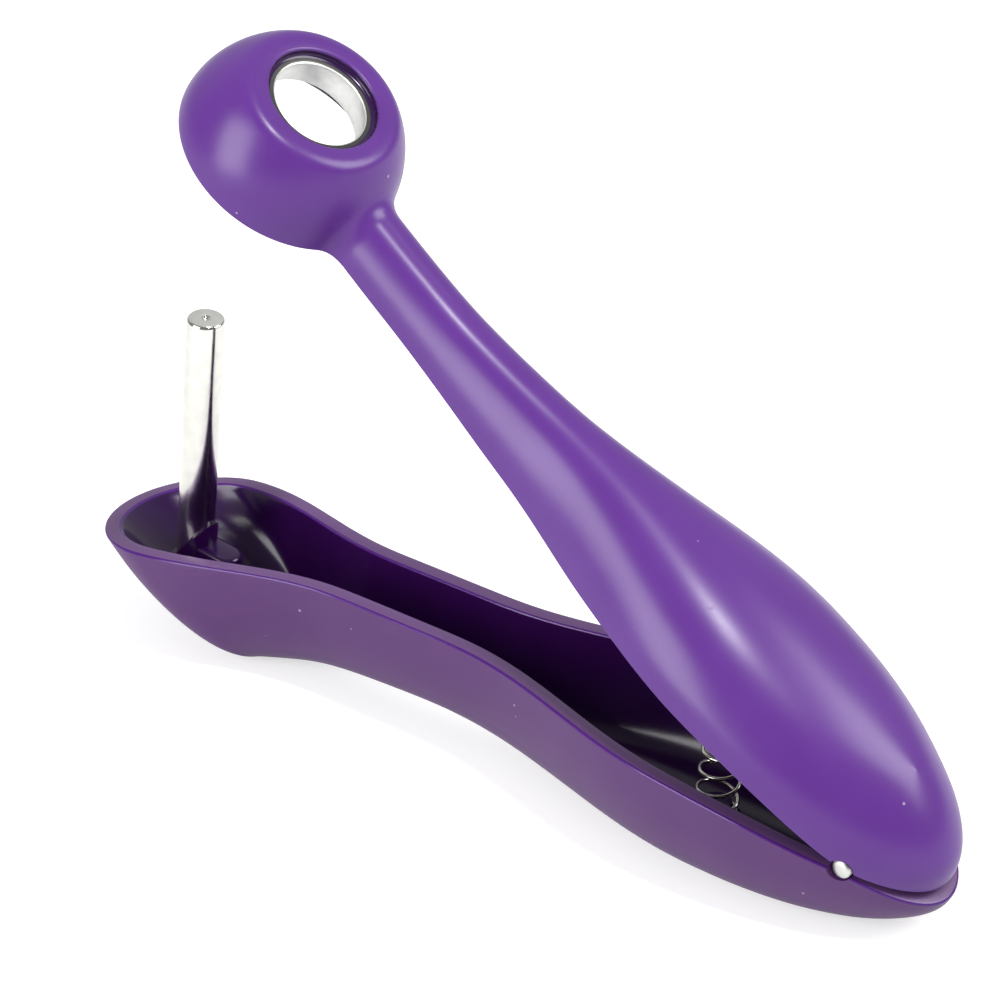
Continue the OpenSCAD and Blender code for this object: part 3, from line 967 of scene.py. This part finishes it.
def ear(name, y, down, length):
    piece = cylinder(name, ear_r, ear_t, (0, y, 0), across=True)
    begin(piece)
    choose_faces(piece, lambda f: f.normal.z * down > 0.05)
    extruded(0, 0, down * length * MM)
    sized((1.5, 1, 0.05), (0, y * MM, down * length * MM))
    end()
    return piece


ears = {}
for name, y, down, length in (("lower_ear", lower_ear_y, -1, 12.5),
                              ("upper_ear", upper_ear_y, 1, 15)):
    ears[name] = [ear(f"{name}_{side}", way * y, down, length)
                  for side, way in (("near", -1), ("far", 1))]
print("ears at", round(lower_ear_y, 2), "and", round(upper_ear_y, 2), "mm from the middle")

# %% Spring seats
spring_at, seat_z, coil_r, wire_r = 27.5, 10.0, 2.9, 0.3
pad_r, peg_r, peg_h = 3.8, 2.25, 2.4


def spring_seat(name, up, far):
    piece = cylinder(name, pad_r, far - seat_z, (-spring_at, 0, -up * (far + seat_z) / 2), 64)
    begin(piece)
    choose_faces(piece, lambda f: f.normal.z * up > 0.9)
    bpy.ops.mesh.inset(thickness=(pad_r - peg_r) * MM)
    extruded(0, 0, up * peg_h * MM)
    end()
    rounded(piece, 0.3)
    return piece


lower_seat = spring_seat("lower_seat", 1, 16)
upper_seat = spring_seat("upper_seat", -1, 20)
print("spring seats", seat_z, "mm from the pin's height")

# %% The boss of the rod
rod_r, rod_lean, rod_height = 2.8, math.radians(4.5), 35.0
rod_frame = Matrix.Translation((-reach * MM, 0, 0)) @ Matrix.Rotation(rod_lean, 4, "Y")
boss_top, sleeve_top, slant = -6.8, -4.2, math.radians(53)
lump_at, lump_r, lump_top = 6.2, 2.4, -3.4
boss = cylinder("rod_boss", rod_r + 1.1, 16, (0, 0, boss_top - 8), 64)
sleeve = cylinder("rod_sleeve", rod_r + 0.5, 24, (0, 0, -8), 96)
begin(sleeve)
choose_all()
bpy.ops.mesh.bisect(plane_co=(0, 0, sleeve_top * MM),
                    plane_no=(-math.sin(slant), 0, math.cos(slant)),
                    clear_outer=True, use_fill=True, threshold=0.0001 * MM)
end()
lump = cylinder("rod_lump", lump_r, 16, (lump_at, 0, lump_top - 8))
begin(lump)
choose(lump, lambda v: v.co.x < (lump_at - 0.001) * MM)
moved(-lump_at * MM, 0, 0)
end()
for piece, edge in ((boss, 0.5), (sleeve, 0.12), (lump, 0.8)):
    settled(piece, rod_frame)
    rounded(piece, edge)
print("boss, sleeve and lump stand round the rod")

# %% Trim them and join them to the handles
lower_inner = [*ears["lower_ear"], lower_seat, boss, sleeve, lump]
upper_inner = [*ears["upper_ear"], upper_seat]
for inner_parts, by in ((lower_inner, lower_core), (upper_inner, upper_core)):
    for piece in inner_parts:
        trimmed(piece, by)
        piece.data.materials.clear()
        piece.data.materials.append(polished_painted_shade)
    bpy.data.objects.remove(by)
print("inner parts trimmed")

# %% Notches for the pin
def notched(piece):
    outer_side = lower_ear_y + ear_t / 2
    for way in (-1, 1):
        cutter = cylinder("notch_cutter", pin_r + 0.3, 6, (0, way * (outer_side + 3), 0),
                          across=True)
        finish_with(piece, "BOOLEAN", object=cutter, operation="DIFFERENCE", solver="EXACT")
        bpy.data.objects.remove(cutter)


notched(lower_handle)
notched(upper_handle)
lower_handle = joined(lower_handle, *lower_inner)
upper_handle = joined(upper_handle, *upper_inner)
print("handles have", len(lower_handle.data.polygons), "and",
      len(upper_handle.data.polygons), "faces")

# %% Lay the handles in their places
open_angle = math.radians(23)
lie = math.atan((cup_depth - belly_depth) / (keel_cup - belly_at - 4))
hinge_place = (0.063606, 0, 0.012358)
at_hinge = Matrix.Translation(hinge_place)
lying = at_hinge @ Matrix.Rotation(lie, 4, "Y")
opened = lying @ Matrix.Rotation(open_angle, 4, "Y")
settled(lower_handle, lying)
settled(upper_handle, opened)
begin(lower_handle)
choose(lower_handle, lambda v: v.co.z < 0)
sized((1, 1, 0), (0, 0, 0))
end()
smoothed(lower_handle)
smoothed(upper_handle)
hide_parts("lower_handle")
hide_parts("upper_handle")
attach(lower_handle, "lower_body")
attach(upper_handle, "upper_body")

# %% [markdown]
# ## Turned parts
#
# A lathe turns a bar while the tool follows a profile. The same can be done with one
# circle: it is pulled along the axis and sized at every step of the profile. A profile
# that ends beside its start makes a ring.

# %% Pull a circle along a profile
def lathe(name, profile, vertices=96, ring=False):
    bpy.ops.object.select_all(action="DESELECT")
    bpy.ops.mesh.primitive_circle_add(vertices=vertices, radius=profile[0][0] * MM,
                                      location=(0, 0, profile[0][1] * MM))
    piece = new_piece(name)
    bpy.ops.object.transform_apply(location=True, rotation=True, scale=True)
    begin(piece)
    bpy.ops.mesh.select_mode(type="EDGE")
    choose_all()
    for (r0, h0), (r, h) in zip(profile, profile[1:]):
        extruded(0, 0, (h - h0) * MM)
        sized((r / r0, r / r0, 1), (0, 0, h * MM))
    choose_open_edges()
    if ring:
        bpy.ops.mesh.bridge_edge_loops()
    else:
        bpy.ops.mesh.fill_holes(sides=0)
    faces_outward()
    end()
    print(name, "has", len(piece.data.polygons), "faces")
    return piece


# %% The seat ring, the rod and the pin
seat_ring = lathe("seat_ring_turned", [
    (8.8, 5.75), (8.65, 5.6), (7.65, 5.6), (7.5, 5.75), (7.1, 8.0), (6.75, 10.2), (6.8, 10.4),
    (7.0, 10.55), (7.2, 10.6), (8.65, 10.6), (8.8, 10.45)], 128, True)
plunger_rod = lathe("plunger_rod_turned", [
    (rod_r, -8.9), (rod_r, 10), (rod_r, rod_height - 0.5), (rod_r - 0.12, rod_height - 0.22),
    (rod_r - 0.3, rod_height - 0.06), (rod_r - 0.5, rod_height), (0.9, rod_height),
    (0.75, rod_height - 0.05), (0.3, rod_height - 0.5), (0.05, rod_height - 0.65)])
pin_half = (belly_w / 2) * math.sqrt(1 - ((belly_at + pin_r) / (belly_at + tail)) ** 2)
pin_side = [(pin_r, pin_half + 0.1), (pin_r - 0.12, pin_half + 0.3),
            (pin_r - 0.35, pin_half + 0.42), (0.6, pin_half + 0.48), (0.1, pin_half + 0.5)]
hinge_pin = lathe("hinge_pin_turned", [(r, -h) for r, h in reversed(pin_side)] + pin_side, 64)
print("pin of", round(2 * pin_half, 1), "mm")

# %% Each finish on its faces
for piece, finishes in ((seat_ring, (ring_metal, ring_face_painted_shade)),
                        (plunger_rod, (rod_steel, rod_face)), (hinge_pin, (pin_steel,))):
    for finish in finishes:
        piece.data.materials.append(finish)
# Slot 1 is the top face: on the ring it carries the painted shade, on the rod a rougher ground
# face.
for piece, height in ((seat_ring, 10.5), (plunger_rod, 34.0)):
    begin(piece)
    paint(piece, 1, lambda f: f.normal.z > 0.8 and f.calc_center_median().z > height * MM)
    end()
on_ball = Matrix.Translation(ball_middle) @ Matrix.Rotation(hole_lean, 4, "Y")
settled(seat_ring, opened @ on_ball)
settled(plunger_rod, lying @ rod_frame)
settled(hinge_pin, lying @ Matrix.Rotation(math.pi / 2, 4, "X"))
for piece, node, body in ((seat_ring, "seat_ring", "upper_body"),
                          (plunger_rod, "plunger_rod", "lower_body"),
                          (hinge_pin, "hinge_pin", "lower_body")):
    smoothed(piece)
    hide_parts(node)
    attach(piece, body)

# %% [markdown]
# ## The spring
#
# The coil follows an arc, because its two seats open like the covers of a book. Its
# first and last turn lie flat on their seats and the turns between them are open. A
# round bevel on a path gives the wire, and the ends are closed.

# %% Wind the wire along the arc
turns, per_turn, closed_rise, start_at = 11, 28, 0.68, 0.03
arc_r = seat_z / math.tan(open_angle / 2) + spring_at
arc_x = arc_r - spring_at
spring_length = arc_r * open_angle
end_gap = 0.35
low, high = end_gap, spring_length - end_gap


def along(turn):
    """Length of arc reached after some turns, in millimetres."""
    pitch = (high - low - 2 * closed_rise) / (turns - 2)
    if turn < 1:
        return low + closed_rise * turn
    if turn > turns - 1:
        return high - closed_rise * (turns - turn)
    return low + closed_rise + pitch * (turn - 1)


path = bpy.data.curves.new("spring_path", "CURVE")
path.dimensions, path.bevel_depth, path.bevel_resolution = "3D", wire_r * MM, 2
path.use_fill_caps = True
line = path.splines.new("POLY")
line.points.add(turns * per_turn)
for k, point in enumerate(line.points):
    turn = k / per_turn
    way = sum(along(min(turns, max(0, turn + d))) for d in (-0.15, 0, 0.15)) / 3 / arc_r
    s = math.tau * (turn + start_at)
    out = arc_r + coil_r * math.cos(s)
    point.co = ((arc_x - out * math.cos(way)) * MM, -coil_r * math.sin(s) * MM,
                (out * math.sin(way) - seat_z) * MM, 1)
spring = bpy.data.objects.new("return_spring_wound", path)
bpy.context.scene.collection.objects.link(spring)
alone(spring)
bpy.ops.object.convert(target="MESH")
spring = bpy.context.object
settled(spring, lying)
begin(spring)
choose_all()
bpy.ops.mesh.remove_doubles(threshold=0.0005 * MM)
faces_outward()
end()
spring.data.materials.clear()
spring.data.materials.append(spring_wire)
smoothed(spring, 50)
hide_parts("return_spring")
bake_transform(spring)
print("wire of", turns, "turns,", round(spring_length, 1), "mm long")
